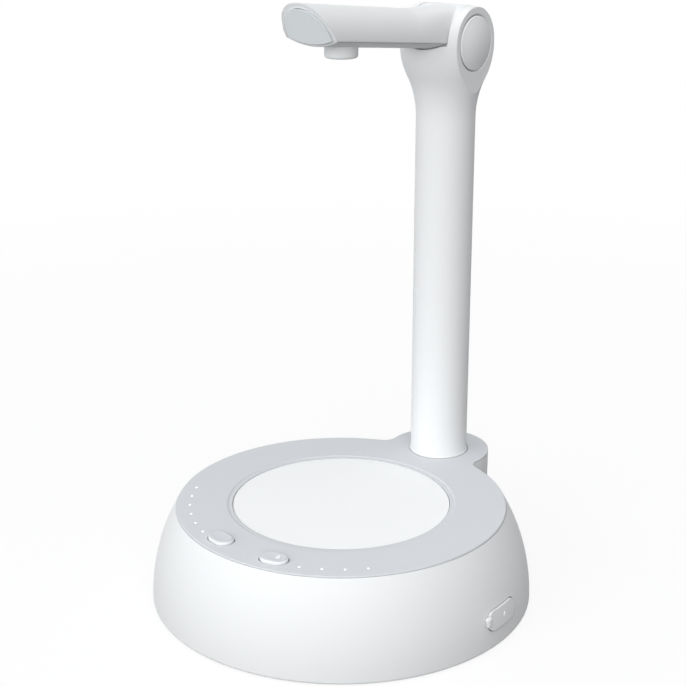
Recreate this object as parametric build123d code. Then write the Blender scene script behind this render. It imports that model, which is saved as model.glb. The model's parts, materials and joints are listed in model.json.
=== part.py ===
from build123d import *
import math
import os

os.makedirs("parts", exist_ok=True)

# Gaps between pieces, and how far cutting shapes run past the material
seam_gap = 0.35
drop_gap = 0.15
pin_gap = 0.05
overrun = 6.0

# Domed base with its rear lobe
base_r = 70.8
dome_lean = 9.9
base_h = 35.8
foot_h = 1.0
skirt_gap = 0.3
wall_t = 2.4
bottom_round = 0.8
lobe_r = 20.0
lobe_blend_r = 5.0
lobe_reach = 3.3
rim_w = 0.75
lid_t = 0.6
panel_t = 2.5
ledge_w = 1.4
ledge_t = 2.5

# Bottom cover, its screws and the foot pads
bottom_t = 2.0
boss_r = 3.5
boss_inset = 8.8
boss_top_z = 24.0
boss_angles = (25, 130, -25, -130)
foot_r = 7.0
foot_inset = 18.8
foot_sink = 0.5
foot_angles = (0, 90, 180, 270)
screw_head_r = 2.2
screw_head_t = 1.2
screw_shank_r = 1.1
screw_l = 9.0
socket_share = 0.5

# Cup mat and the dish that holds it
mat_inset = 20.7
mat_t = 2.4
mat_drop = 0.5
mat_edge = 0.2
ring_w = 2.1
ring_drop = 0.3
dish_wall = 1.6
dish_t = 1.5

# Buttons, light guides and the board below them
button_angle = 13.3
button_turn_angle = -1.05
button_inset = 7.3
button_l = 10.3
button_w = 7.2
button_proud = 1.2
button_edge = 0.6
button_flange = 0.8
button_flange_t = 0.9
button_flange_drop = 0.2
button_stem_r = 1.5
switch_travel = 0.75
switch_size = 6.0
switch_t = 3.2
switch_knob_r = 1.6
switch_knob_t = 0.5
guide_inset = 4.9
guide_r = 0.6
guide_flange_r = 1.2
guide_flange_t = 0.8
guide_tail = 2.6
guide_step_angle = 8.05
amount_first_angle = -23.8
amount_count = 6
charge_first_angle = 22.9
charge_count = 4
led_size = 1.6
led_t = 0.8
board_t = 1.6
control_drop = 8.2
control_inset = 2.7
control_w = 10.2
control_span_angles = (-73, 56)
control_post_r = 2.4
control_post_inset = 9.9
control_post_angles = (-70, 0, 53)

# Charging port on the right side
port_y = 1.8
port_z = 10.7
flap_l = 18.0
flap_h = 7.2
flap_t = 1.3
flap_proud = 0.6
tab_r = 2.0
tab_h = 4.0
tab_inset = 0.2
tab_sink = 0.5
tab_lift = 0.7
plug_l = 8.2
plug_h = 2.4
plug_t = 0.9
socket_l = 9.0
socket_h = 3.2
socket_wall = 0.3
socket_depth = 7.4
tongue_l = 6.7
tongue_t = 0.7
tongue_back_t = 1.2
port_clear = 0.4

# Main board
main_inset = 5.8
main_w = 23.0
main_d = 28.0
post_r = 2.4
post_inset = 3.0
short_screw_l = 3.4

# Battery
cell_r = 9.1
cell_l = 65.0
cell_gap = 1.0
cell_cap_r = 3.0
cell_cap_t = 1.0
cradle_wall = 2.2
cradle_share = 0.6

# Motor and gear pump
motor_gap = 2.7
motor_l = 30.0
motor_cap_inset = 1.3
motor_cap_t = 3.0
pump_reach = 34.2
pump_drop = 1.0
pump_w = 34.0
pump_l = 12.0
pump_top_gap = 3.6
pump_wall = 3.6
pump_cover_t = 3.0
gear_module = 1.2
gear_tooth_count = 10
gear_pressure_angle = 28.0
gear_l = 8.0
gear_backlash = 0.3
gear_tip_gap = 0.35
gear_end_gap = 0.2
shaft_r = 1.5
port_offset = 5.0
port_chamber_r = 2.6
pump_screw_inset = 2.6
pump_screw_drop = 3.0
pump_screw_l = 10.0

# Tubes and the spigots they slip over
tube_r = 2.6
tube_bore_r = 1.6
spigot_bore_r = 0.9
spigot_l = 6.0
tube_stop_gap = 0.8
delivery_bend_r = 10.0
inlet_r = 3.5
inlet_bore_r = 2.0
inlet_l = 9.0
inlet_flange_r = 6.0
inlet_flange_t = 1.6
inlet_thread_l = 6.5
inlet_nut_r = 5.4
inlet_nut_t = 2.6

# Column and hinge ears
tower_r = 11.18
tower_bore_r = 9.2
tower_foot_round = 0.8
tower_spigot_r = 10.3
tower_spigot_gap = 1.0
nut_r = 14.6
nut_t = 3.6
hinge_z = 198.2
flare_r = 17.8
flare_low = 28.0
flare_share = 0.55
ear_x = 12.56
ear_r = 13.0
ear_back = 12.4
ear_crown = 0.35
ear_step_count = 2
slot_drop = 7.0
root_gap = 0.55
pocket_floor = 2.5
strip_w = 11.0
strip_low_z = 60.0
strip_high_z = 150.0
cap_r = 9.9
cap_t = 0.6
cap_rise = 2.2
cap_shoulder = 0.35
cap_edge = 0.55
recess_t = 1.8
recess_lip = 0.4
recess_gap = 0.3
bush_r = 4.2
bush_flange_r = 6.0
bush_flange_t = 0.5
hinge_head_r = 4.0
hinge_head_t = 0.55
hinge_screw_r = 1.15
hinge_screw_l = 4.0

# Swivel ring on the hollow axle
axle_r = 3.0
ring_r = 6.2
ring_half_w = 2.2
ring_x = -3.2
ring_groove_r = 4.0
ring_groove_w = 2.0
ring_stem_l = 13.0
tube_shift_low = 34.0
tube_shift_high = 50.0
tube_shift_bend_r = 20.0
stub_x = 1.2
stub_angle = 20.0
stub_l = 10.4

# Spout arm, measured along the arm from the hinge
arm_tilt_angle = 6.4
arm_tip_u = 80.5
arm_corner_v = -0.6
arm_tip_half_w = 10.67
arm_root_half_w = 9.3
arm_arch_h = 11.5
arm_round_share = 0.95
arm_root_u = 5.0
arm_root_arch_h = 13.2
arm_root_round_share = 0.36
arm_blend_u = 30.0
arch_step_count = 12
arm_belly = 2.33
arm_lean_share = 0.78
arm_wall = 1.6
drum_r = 13.4
drum_wall = 2.0
drum_edge = 0.4
drum_slot_w = 5.9
drum_slot_angles = (-12, 48, 108)
end_rim = 1.7
end_belly_share = 0.4
end_proud = 0.8
end_t = 2.0
end_web = 1.5
arm_tube_v = 4.6
arm_tube_turn_u = 30.0
arm_tube_straight_u = 50.0
arm_tube_bend_r = 4.0
nozzle_u = 64.5
nozzle_r = 5.77
nozzle_drop = 5.84
nozzle_edge = 1.0
nozzle_bore_r = 3.0
nozzle_flange_r = 7.0
nozzle_flange_t = 1.0
nozzle_head_r = 3.4
nozzle_head_t = 2.6
straight_t = 2.0
straight_lift = 0.8
straight_hole_r = 0.5
straight_hole_count = 6
straight_ring_share = 0.6

# Angles, rings and heights that follow from the sizes above
amount_angles = tuple(amount_first_angle - guide_step_angle * step for step in range(amount_count))
charge_angles = tuple(charge_first_angle + guide_step_angle * step for step in range(charge_count))
button_angles = {side: side * button_angle + button_turn_angle for side in (-1, 1)}
base_top_r = base_r - dome_lean
tower_y = base_top_r + lobe_reach
inlet_end_y = tower_y + lobe_r + inlet_l
frame_y = (base_r - inlet_end_y) / 2
boss_ring_r = base_r - boss_inset
foot_ring_r = base_r - foot_inset
mat_r = base_top_r - mat_inset
button_ring_r = base_top_r - button_inset
guide_ring_r = base_top_r - guide_inset
control_out_r = base_top_r - control_inset
control_in_r = control_out_r - control_w
control_post_ring_r = base_top_r - control_post_inset
main_x = base_r - main_inset - main_w
panel_low_z = base_h - panel_t
lid_low_z = base_h - lid_t
ledge_low_z = panel_low_z - ledge_t
mat_top_z = base_h - mat_drop
mat_low_z = mat_top_z - mat_t
floor_z = foot_h + bottom_t
control_z = panel_low_z - control_drop + board_t
spigot_r = tube_bore_r - pin_gap
drum_half_w = arm_root_half_w
slot_half_w = drum_half_w + seam_gap
gear_r = gear_module * gear_tooth_count / 2
dish_low_z = mat_low_z - dish_t
room_h = dish_low_z - floor_z
motor_r = room_h / 2 - motor_gap
pump_z = floor_z + room_h / 2 - pump_drop
pump_top_z = dish_low_z - pump_top_gap
pump_screw_x = pump_w / 2 - pump_screw_inset
pump_screw_z = pump_top_z - pump_z - pump_screw_drop
pump_y = tower_y - pump_reach
motor_front_y = pump_y - motor_l
cell_y = motor_front_y - motor_cap_t - cell_gap - cradle_wall - cell_r
tower_foot_z = pump_z + port_offset + tube_r + tower_spigot_gap
pump_back_y = pump_y + pump_l
cover_back_y = pump_back_y + pump_cover_t


def block(x_span, y_span, z_span):
    size = [span[1] - span[0] for span in (x_span, y_span, z_span)]
    middle = [(span[1] + span[0]) / 2 for span in (x_span, y_span, z_span)]
    return Pos(*middle) * Box(*size)


def rod_x(radius, x_span, y, z):
    middle = (x_span[0] + x_span[1]) / 2
    return Pos(middle, y, z) * Rot(0, 90, 0) * Cylinder(radius, x_span[1] - x_span[0])


def rod_y(radius, x, y_span, z):
    middle = (y_span[0] + y_span[1]) / 2
    return Pos(x, middle, z) * Rot(90, 0, 0) * Cylinder(radius, y_span[1] - y_span[0])


def rod_z(radius, x, y, z_span):
    middle = (z_span[0] + z_span[1]) / 2
    return Pos(x, y, middle) * Cylinder(radius, z_span[1] - z_span[0])


def raised(face, z_span):
    return Pos(0, 0, z_span[0]) * extrude(face, z_span[1] - z_span[0])


def at_angle(angle, ring_r, z):
    return Rot(0, 0, angle) * Pos(0, -ring_r, z)


def group(solids):
    return Compound(children=list(solids))


# The model is laid out from the base's axis and saved about the middle of its whole footprint
def save(shape, name):
    solids = [Pos(0, frame_y) * solid for solid in shape.solids()]
    whole = solids[0] if len(solids) == 1 else group(solids)
    whole.label = name
    export_step(whole, os.path.join("parts", name + ".step"))


# A screw points down: its head stands on z = 0 and its shank hangs below
def screw(head_r, head_t, shank_r, shank_l):
    body = rod_z(head_r, 0, 0, (0, head_t)) + rod_z(shank_r, 0, 0, (-shank_l, 0))
    socket = Pos(0, 0, head_t) * extrude(RegularPolygon(head_r * socket_share, 6), -head_t * socket_share)
    return body - socket


# Base side: an arc that leaves the table upright and leans in to the panel
dome_arc_r = (dome_lean**2 + base_h**2) / (dome_lean + dome_lean)
dome_centre_r = base_r - dome_arc_r


def dome_radius(z, inset):
    return dome_centre_r + math.sqrt((dome_arc_r - inset) ** 2 - z**2)


def dome(inset, low_z, high_z):
    low, mid, high = [(dome_radius(z, inset), z) for z in (low_z, (low_z + high_z) / 2, high_z)]
    outline = [Line((0, low_z), low), ThreePointArc(low, mid, high)]
    outline += [Line(high, (0, high_z)), Line((0, high_z), (0, low_z))]
    return revolve(Plane.XZ * make_face(outline), Axis.Z)


# Plan of the base top: a disc joined to the lobe by two hollow corners
def keyhole(disc_r, inset, z_span):
    rim = disc_r - inset
    lobe_rim = lobe_r - inset
    body = rod_z(rim, 0, 0, z_span) + rod_z(lobe_rim, 0, tower_y, z_span)
    corners = []
    for edge in body.edges().filter_by(Axis.Z):
        spot = edge.center()
        from_disc = abs(math.hypot(spot.X, spot.Y) - rim)
        from_lobe = abs(math.hypot(spot.X, spot.Y - tower_y) - lobe_rim)
        if from_disc < pin_gap and from_lobe < pin_gap:
            corners.append(edge)
    return fillet(corners, lobe_blend_r + inset)


def flap_face(length, height):
    return Plane.YZ * Pos(port_y, port_z) * SlotOverall(length, height)


def make_base_shell():
    bowl = dome(0, skirt_gap, lid_low_z)
    bowl = fillet(bowl.edges().group_by(Axis.Z)[0], bottom_round)
    lobe = keyhole(base_top_r, 0, (skirt_gap, lid_low_z))
    lobe = fillet(lobe.edges().group_by(Axis.Z)[0], bottom_round)
    shell = bowl + lobe
    shell -= dome(wall_t, 0, ledge_low_z)
    shell -= keyhole(base_top_r, wall_t, (0, ledge_low_z))
    for angle in boss_angles:
        spot = at_angle(angle, boss_ring_r, 0)
        shell += spot * rod_z(boss_r, 0, 0, (floor_z, boss_top_z)) & dome(wall_t / 2, foot_h, base_h)
    shell -= keyhole(base_top_r, rim_w + ledge_w, (ledge_low_z - overrun, base_h))
    shell -= keyhole(base_top_r, rim_w, (panel_low_z, base_h + overrun))
    for angle in boss_angles:
        hole = rod_z(screw_shank_r + pin_gap, 0, 0, (0, floor_z + screw_l))
        shell -= at_angle(angle, boss_ring_r, 0) * hole
    recess = extrude(flap_face(flap_l + seam_gap + seam_gap, flap_h + seam_gap + seam_gap), base_r + overrun)
    shell -= recess - dome(flap_t + seam_gap, foot_h, base_h)
    shell -= extrude(flap_face(socket_l + port_clear, socket_h + port_clear), base_r + overrun)
    shell -= rod_y(inlet_r + pin_gap, 0, (tower_y, tower_y + lobe_r + overrun), pump_z - port_offset)
    return shell


def make_bottom_cover():
    tail = raised(Pos(0, tower_y) * Circle(lobe_r - wall_t - drop_gap), (foot_h, floor_z))
    cover = raised(Circle(dome_radius(floor_z, wall_t) - drop_gap), (foot_h, floor_z)) + tail
    post = rod_z(post_r, 0, 0, (floor_z, main_board_low_z()))
    post -= rod_z(screw_shank_r + pin_gap, 0, 0, (floor_z, main_board_low_z()))
    for x, y in board_screw_spots():
        cover += Pos(x, y) * post
    for angle in boss_angles:
        spot = at_angle(angle, boss_ring_r, 0)
        cover -= spot * rod_z(screw_shank_r + drop_gap, 0, 0, (0, floor_z))
        cover -= spot * rod_z(screw_head_r + drop_gap, 0, 0, (0, foot_h + screw_head_t))
    for angle in foot_angles:
        cover -= at_angle(angle, foot_ring_r, 0) * rod_z(foot_r + pin_gap, 0, 0, (0, foot_h + foot_sink))
    return cover


def make_foot_pads():
    pad = rod_z(foot_r, 0, 0, (0, foot_h + foot_sink))
    return group(at_angle(angle, foot_ring_r, 0) * pad for angle in foot_angles)


def make_bottom_screws():
    body = Rot(180, 0, 0) * screw(screw_head_r, screw_head_t, screw_shank_r, screw_l)
    return group(at_angle(angle, boss_ring_r, foot_h + screw_head_t) * body for angle in boss_angles)


def make_top_panel():
    panel = dome(0, lid_low_z, base_h) + keyhole(base_top_r, 0, (lid_low_z, base_h))
    panel += keyhole(base_top_r, rim_w + drop_gap, (panel_low_z, lid_low_z))
    panel += rod_z(mat_r + ring_w + dish_wall, 0, 0, (dish_low_z, panel_low_z))
    panel -= rod_z(mat_r + drop_gap, 0, 0, (mat_low_z, base_h))
    ring_r_out = mat_r + ring_w
    panel -= Pos(0, 0, base_h - ring_drop / 2) * Cone(ring_r_out - ring_drop, ring_r_out, ring_drop)
    panel -= rod_z(tower_spigot_r + drop_gap, 0, tower_y, (panel_low_z, base_h))
    for side in (-1, 1):
        hole = SlotOverall(button_l + seam_gap + seam_gap, button_w + seam_gap + seam_gap)
        panel -= at_angle(button_angles[side], button_ring_r, 0) * raised(hole, (panel_low_z, base_h))
    for angle in amount_angles + charge_angles:
        panel -= at_angle(angle, guide_ring_r, 0) * rod_z(guide_r + pin_gap, 0, 0, (panel_low_z, base_h))
    for angle in control_post_angles:
        spot = at_angle(angle, control_post_ring_r, 0)
        panel += spot * rod_z(control_post_r, 0, 0, (control_z, panel_low_z))
        panel -= spot * rod_z(screw_shank_r + pin_gap, 0, 0, (control_z, panel_low_z))
    return panel


def make_cup_mat():
    mat = rod_z(mat_r, 0, 0, (mat_low_z, mat_top_z))
    return fillet(mat.edges().group_by(Axis.Z)[-1], mat_edge)


def make_button(side):
    top_z = base_h + button_proud
    flange_top = panel_low_z - button_flange_drop
    cap = raised(SlotOverall(button_l, button_w), (flange_top, top_z))
    cap = fillet(cap.edges().group_by(Axis.Z)[-1], button_edge)
    flange_w = button_w + button_flange + button_flange
    flange_plan = SlotOverall(button_l + button_flange + button_flange, flange_w)
    flange = raised(flange_plan, (flange_top - button_flange_t, flange_top))
    stem = rod_z(button_stem_r, 0, 0, (switch_top_z() + switch_travel, flange_top))
    return at_angle(button_angles[side], button_ring_r, 0) * (cap + flange + stem)


def switch_top_z():
    return control_z + switch_t + switch_knob_t - board_t


def make_switch_bodies():
    half = switch_size / 2
    low_z = control_z
    body = block((-half, half), (-half, half), (low_z, switch_top_z() - switch_knob_t))
    body += rod_z(switch_knob_r, 0, 0, (low_z, switch_top_z()))
    return group(at_angle(angle, button_ring_r, 0) * body for angle in button_angles.values())


def make_light_guides(angles):
    guide = rod_z(guide_r, 0, 0, (panel_low_z - guide_tail, base_h))
    guide += rod_z(guide_flange_r, 0, 0, (panel_low_z - guide_flange_t, panel_low_z))
    return group(at_angle(angle, guide_ring_r, 0) * guide for angle in angles)


def make_indicator_leds():
    half = led_size / 2
    led = block((-half, half), (-half, half), (control_z, control_z + led_t))
    return group(at_angle(angle, guide_ring_r, 0) * led for angle in amount_angles + charge_angles)


def make_control_board():
    edges = []
    start, end = [angle - 90 for angle in control_span_angles]
    edges.append(CenterArc((0, 0), control_out_r, start, end - start))
    edges.append(CenterArc((0, 0), control_in_r, start, end - start))
    edges.append(Line(edges[0] @ 0, edges[1] @ 0))
    edges.append(Line(edges[0] @ 1, edges[1] @ 1))
    board = raised(make_face(edges), (control_z - board_t, control_z))
    for angle in control_post_angles:
        hole = rod_z(screw_shank_r + drop_gap, 0, 0, (control_z - board_t, control_z))
        board -= at_angle(angle, control_post_ring_r, 0) * hole
    return board


def make_control_board_screws():
    body = Rot(180, 0, 0) * screw(screw_head_r, screw_head_t, screw_shank_r, short_screw_l)
    low_z = control_z - board_t
    return group(at_angle(angle, control_post_ring_r, low_z) * body for angle in control_post_angles)


def main_board_low_z():
    return port_z - socket_h / 2 - board_t


def board_screw_spots():
    for x in (-1, 1):
        for y in (-1, 1):
            spot_x = main_x + main_w / 2 + x * (main_w / 2 - post_inset)
            yield spot_x, port_y + y * (main_d / 2 - post_inset)


def make_main_board():
    low_z = main_board_low_z()
    half = main_d / 2
    board = block((main_x, main_x + main_w), (port_y - half, port_y + half), (low_z, low_z + board_t))
    for x, y in board_screw_spots():
        board -= rod_z(screw_shank_r + drop_gap, x, y, (low_z, low_z + board_t))
    return board


def make_main_board_screws():
    body = screw(screw_head_r, screw_head_t, screw_shank_r, short_screw_l)
    return group(Pos(x, y, main_board_low_z() + board_t) * body for x, y in board_screw_spots())


def make_charging_socket():
    mouth_x = main_x + main_w + drop_gap
    back_x = mouth_x - socket_depth
    sleeve = Pos(back_x) * extrude(flap_face(socket_l, socket_h), socket_depth)
    hollow = flap_face(socket_l - socket_wall - socket_wall, socket_h - socket_wall - socket_wall)
    sleeve -= Pos(back_x + tongue_back_t) * extrude(hollow, socket_depth)
    y_span = (port_y - tongue_l / 2, port_y + tongue_l / 2)
    z_span = (port_z - tongue_t / 2, port_z + tongue_t / 2)
    return sleeve + block((back_x, mouth_x - tongue_back_t), y_span, z_span)


def make_port_cover():
    plate = extrude(flap_face(flap_l, flap_h), base_r + overrun)
    plate &= dome(-flap_proud, foot_h, base_h)
    plate -= dome(flap_t, foot_h, base_h)
    outer_x = dome_radius(port_z, 0)
    plug = extrude(flap_face(plug_l, plug_h), base_r) & dome(flap_t, foot_h, base_h)
    plate += plug - dome(flap_t + plug_t, foot_h, base_h)
    tab_y = port_y - flap_l / 2 + tab_inset
    tab_x = math.sqrt(outer_x**2 - tab_y**2) - tab_sink
    tab_z = port_z + tab_lift
    tab = rod_z(tab_r, tab_x, tab_y, (tab_z - tab_h / 2, tab_z + tab_h / 2))
    tab = fillet(tab.edges().filter_by(GeomType.CIRCLE), tab_r / 2)
    under = dome(-flap_proud, foot_h, base_h) - extrude(flap_face(flap_l, flap_h), base_r + overrun)
    return plate + (tab - under - dome(flap_t, foot_h, base_h))


def make_battery_cell():
    cell_z = floor_z + cradle_wall + cell_r
    cell = rod_x(cell_r, (-cell_l / 2, cell_l / 2 - cell_cap_t), cell_y, cell_z)
    return cell + rod_x(cell_cap_r, (cell_l / 2 - cell_cap_t, cell_l / 2), cell_y, cell_z)


def make_battery_cradle():
    cell_z = floor_z + cradle_wall + cell_r
    half_l = cell_l / 2 + drop_gap
    half_w = cell_r + cradle_wall
    top_z = floor_z + cradle_wall + cell_r * cradle_share
    y_span = (cell_y - half_w, cell_y + half_w)
    body = block((-half_l - cradle_wall, half_l + cradle_wall), y_span, (floor_z, top_z))
    for side in (-1, 1):
        outer = sorted((side * half_l, side * (half_l + cradle_wall)))
        body += block(outer, y_span, (floor_z, cell_z + cell_r * cradle_share))
    return body - rod_x(cell_r + pin_gap, (-half_l, half_l), cell_y, cell_z)


def make_motor_can():
    can = rod_y(motor_r, -gear_r, (motor_front_y, pump_y), pump_z)
    return can - rod_y(shaft_r + pin_gap, -gear_r, (motor_front_y, pump_y), pump_z)


def make_motor_end_cap():
    y_span = (motor_front_y - motor_cap_t, motor_front_y)
    return rod_y(motor_r - motor_cap_inset, -gear_r, y_span, pump_z)


# Outline of one pump gear: involute flanks on a wide pressure angle, with stub teeth
gear_pressure = math.radians(gear_pressure_angle)
gear_head_share = 0.8
gear_foot_share = 1.05
gear_flank_shares = (0, 0.25, 0.5, 0.75, 1)
gear_out_r = gear_r + gear_module * gear_head_share
gear_base_r = gear_r * math.cos(gear_pressure)


def involute(radius):
    slope = math.acos(min(1, gear_base_r / radius))
    return math.tan(slope) - slope


def gear_face(turn):
    foot_r = gear_r - gear_module * gear_foot_share
    half_tooth = math.pi / gear_tooth_count / 2 - gear_backlash / gear_r / 4
    flank = [(foot_r, half_tooth + involute(gear_r))]
    for share in gear_flank_shares:
        radius = gear_base_r + (gear_out_r - gear_base_r) * share
        flank.append((radius, half_tooth + involute(gear_r) - involute(radius)))
    points = []
    for tooth in range(gear_tooth_count):
        middle = math.tau * tooth / gear_tooth_count + turn
        for radius, swing in flank:
            points.append((radius * math.cos(middle - swing), radius * math.sin(middle - swing)))
        for radius, swing in reversed(flank):
            points.append((radius * math.cos(middle + swing), radius * math.sin(middle + swing)))
    return make_face(Polyline(*points, close=True))


def make_gear(x, turn):
    front_y = pump_back_y - gear_end_gap - gear_l
    gear = extrude(gear_face(turn) - Circle(shaft_r + pin_gap), gear_l)
    return Pos(x, front_y + gear_l, pump_z) * Rot(90, 0, 0) * gear


def make_drive_shaft():
    y_span = (motor_front_y + gear_end_gap, pump_back_y - gear_end_gap)
    return rod_y(shaft_r, -gear_r, y_span, pump_z)


def make_driven_pin():
    return rod_y(shaft_r, gear_r, (pump_y + pump_wall / 2, pump_back_y), pump_z)


def pump_screw_spots():
    for x in (-1, 1):
        for z in (-1, 1):
            yield x * pump_screw_x, pump_z + z * pump_screw_z


def make_pump_housing():
    half = pump_w / 2
    body = block((-half, half), (pump_y, pump_back_y), (floor_z, pump_top_z))
    pocket_y = (pump_back_y - gear_l - gear_end_gap - gear_end_gap, pump_back_y)
    for x in (-gear_r, gear_r):
        body -= rod_y(gear_out_r + gear_tip_gap, x, pocket_y, pump_z)
    for side in (-1, 1):
        body -= rod_y(port_chamber_r, 0, pocket_y, pump_z + side * port_offset)
    body -= rod_y(shaft_r + pin_gap, -gear_r, (pump_y, pump_back_y), pump_z)
    body -= rod_y(shaft_r + pin_gap, gear_r, (pump_y + pump_wall / 2, pump_back_y), pump_z)
    for x, z in pump_screw_spots():
        body -= rod_y(screw_shank_r + pin_gap, x, (pump_y, pump_back_y), z)
    return body


def make_pump_cover():
    half = pump_w / 2
    cover = block((-half, half), (pump_back_y, cover_back_y), (floor_z, pump_top_z))
    for side in (-1, 1):
        z = pump_z + side * port_offset
        cover += rod_y(spigot_r, 0, (cover_back_y, cover_back_y + spigot_l), z)
        cover -= rod_y(spigot_bore_r, 0, (pump_back_y, cover_back_y + spigot_l), z)
    for x, z in pump_screw_spots():
        cover -= rod_y(screw_shank_r + drop_gap, x, (pump_back_y, cover_back_y), z)
    return cover


def make_pump_screws():
    body = Rot(-90, 0, 0) * screw(screw_head_r, screw_head_t, screw_shank_r, pump_screw_l)
    return group(Pos(x, cover_back_y, z) * body for x, z in pump_screw_spots())


def make_hose_inlet():
    z = pump_z - port_offset
    wall_y = tower_y + lobe_r
    inner_y = wall_y - inlet_thread_l
    body = rod_y(inlet_r, 0, (inner_y, wall_y + inlet_l), z)
    body += rod_y(inlet_flange_r, 0, (wall_y, wall_y + inlet_flange_t), z)
    body += rod_y(spigot_r, 0, (inner_y - spigot_l, inner_y), z)
    body -= rod_y(spigot_bore_r, 0, (inner_y - spigot_l, wall_y), z)
    return body - rod_y(inlet_bore_r, 0, (wall_y, wall_y + inlet_l), z)


def make_inlet_nut():
    z = pump_z - port_offset
    face_y = tower_y + math.sqrt((lobe_r - wall_t) ** 2 - inlet_nut_r**2)
    hexagon = Plane.XZ * RegularPolygon(inlet_nut_r, 6)
    nut = Pos(0, face_y, z) * extrude(hexagon, inlet_nut_t)
    return nut - rod_y(inlet_r + pin_gap, 0, (face_y - overrun, face_y), z)


def tube(path):
    wire = Wire(path.edges())
    ends = Plane(wire @ 0, z_dir=wire % 0)
    return sweep(ends * Circle(tube_r), path=wire) - sweep(ends * Circle(tube_bore_r), path=wire)


def make_suction_tube():
    z = pump_z - port_offset
    start_y = cover_back_y + tube_stop_gap
    end_y = tower_y + lobe_r - inlet_thread_l - tube_stop_gap
    return tube(Line((0, start_y, z), (0, end_y, z)))


def make_delivery_tube():
    low_z = pump_z + port_offset
    start = (0, cover_back_y + tube_stop_gap, low_z)
    foot = (0, tower_y, low_z)
    lower = (0, tower_y, hinge_z - tube_shift_high)
    upper = (ring_x, tower_y, hinge_z - tube_shift_low)
    end = (ring_x, tower_y, hinge_z - ring_r - tube_stop_gap)
    return tube(FilletPolyline(start, foot, lower, upper, end, radius=delivery_bend_r))


# Outline of the hinge flare: two arcs that leave the column and the ears upright
def flare_points():
    low = (tower_r, hinge_z - flare_low)
    high = (flare_r, hinge_z)
    rise = high[1] - low[1]
    spread = high[0] - low[0]
    turn = (low[0] + spread * flare_share, low[1] + rise * flare_share)
    quarter = math.atan2(spread, rise)
    low_arc_r = (turn[1] - low[1]) / math.sin(quarter + quarter)
    high_arc_r = (high[1] - turn[1]) / math.sin(quarter + quarter)
    low_mid = (low[0] + low_arc_r * (1 - math.cos(quarter)), low[1] + low_arc_r * math.sin(quarter))
    high_mid = (high[0] - high_arc_r * (1 - math.cos(quarter)), high[1] - high_arc_r * math.sin(quarter))
    return low, low_mid, turn, high_mid, high


def make_column():
    foot_z = tower_foot_z
    round_c = tower_r + tower_foot_round
    lean = tower_foot_round * (1 - math.sqrt(0.5))
    edges = [Line((0, foot_z), (tower_spigot_r, foot_z))]
    edges.append(Line((tower_spigot_r, foot_z), (tower_spigot_r, base_h)))
    edges.append(Line((tower_spigot_r, base_h), (round_c, base_h)))
    foot_top = (tower_r, base_h + tower_foot_round)
    edges.append(ThreePointArc((round_c, base_h), (tower_r + lean, base_h + lean), foot_top))
    top_z = hinge_z - flare_low
    edges += [Line(foot_top, (tower_r, top_z)), Line((tower_r, top_z), (0, top_z))]
    edges.append(Line((0, top_z), (0, foot_z)))
    return Pos(0, tower_y) * revolve(Plane.XZ * make_face(edges), Axis.Z)


def make_knuckle():
    low, low_mid, turn, high_mid, high = flare_points()
    edges = [ThreePointArc(low, low_mid, turn), ThreePointArc(turn, high_mid, high)]
    edges += [Line(high, (0, hinge_z)), Line((0, hinge_z), (0, low[1])), Line((0, low[1]), low)]
    flare = Pos(0, tower_y) * revolve(Plane.XZ * make_face(edges), Axis.Z)
    wide = flare_r + overrun
    keep = block((-ear_x, ear_x), (tower_y - wide, tower_y + ear_back), (low[1], hinge_z))
    ear = Pos(0, tower_y, hinge_z) * make_ear()
    return (flare & keep) + ear + mirror(ear, Plane.YZ)


# Upper half of one ear: its front carries on the flare's curve, and its crown falls towards the outside
def make_ear():
    sections = []
    for step in range(ear_step_count + 1):
        share = step / ear_step_count
        x = slot_half_w + (ear_x - slot_half_w) * share
        front = math.sqrt((flare_r - pin_gap) ** 2 - x**2)
        top = ear_r + ear_crown * (1 - share)
        edges = [EllipticalCenterArc((0, 0), ear_back, top), EllipticalCenterArc((0, 0), front, top, 90)]
        edges.append(Line((-front, 0), (ear_back, 0)))
        sections.append(Plane.YZ.offset(x) * make_face(edges))
    return loft(sections)


def arm_frame():
    return Pos(0, tower_y, hinge_z) * Rot(-arm_tilt_angle, 0, 0)


def make_tower_shell():
    body = make_column() + make_knuckle()
    bore_top = hinge_z - drum_r - seam_gap - pocket_floor
    body -= rod_z(tower_bore_r, 0, tower_y, (tower_foot_z, bore_top))
    slot = (-slot_half_w, slot_half_w)
    body -= rod_x(drum_r + seam_gap, slot, tower_y, hinge_z)
    body -= block(slot, (tower_y, tower_y + flare_r + overrun), (hinge_z - slot_drop, hinge_z))
    body -= arm_frame() * arm_root(-root_gap)
    body -= rod_x(bush_r + pin_gap, (-ear_x, ear_x), tower_y, hinge_z)
    for side in (-1, 1):
        recess = sorted((side * ear_x, side * (ear_x - recess_t)))
        body -= rod_x(cap_r + recess_gap, recess, tower_y, hinge_z)
        lip = Cone(cap_r + recess_gap, cap_r + recess_gap + recess_lip, recess_lip)
        body -= Pos(side * (ear_x - recess_lip / 2), tower_y, hinge_z) * Rot(0, side * 90, 0) * lip
    body -= rod_z(tube_r + seam_gap, ring_x, tower_y, (bore_top - overrun, hinge_z))
    return body - strip_block(drop_gap)


def strip_block(grow):
    half = strip_w / 2 + grow
    y_span = (tower_y, tower_y + tower_r + overrun)
    return block((-half, half), y_span, (strip_low_z - grow, strip_high_z + grow))


def make_tower_rear_cover():
    tube_wall = rod_z(tower_r, 0, tower_y, (strip_low_z, strip_high_z))
    tube_wall -= rod_z(tower_bore_r, 0, tower_y, (strip_low_z, strip_high_z))
    return tube_wall & strip_block(0)


def make_tower_nut():
    nut = rod_z(nut_r, 0, tower_y, (panel_low_z - nut_t, panel_low_z))
    return nut - rod_z(tower_spigot_r + pin_gap, 0, tower_y, (panel_low_z - nut_t, panel_low_z))


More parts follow.
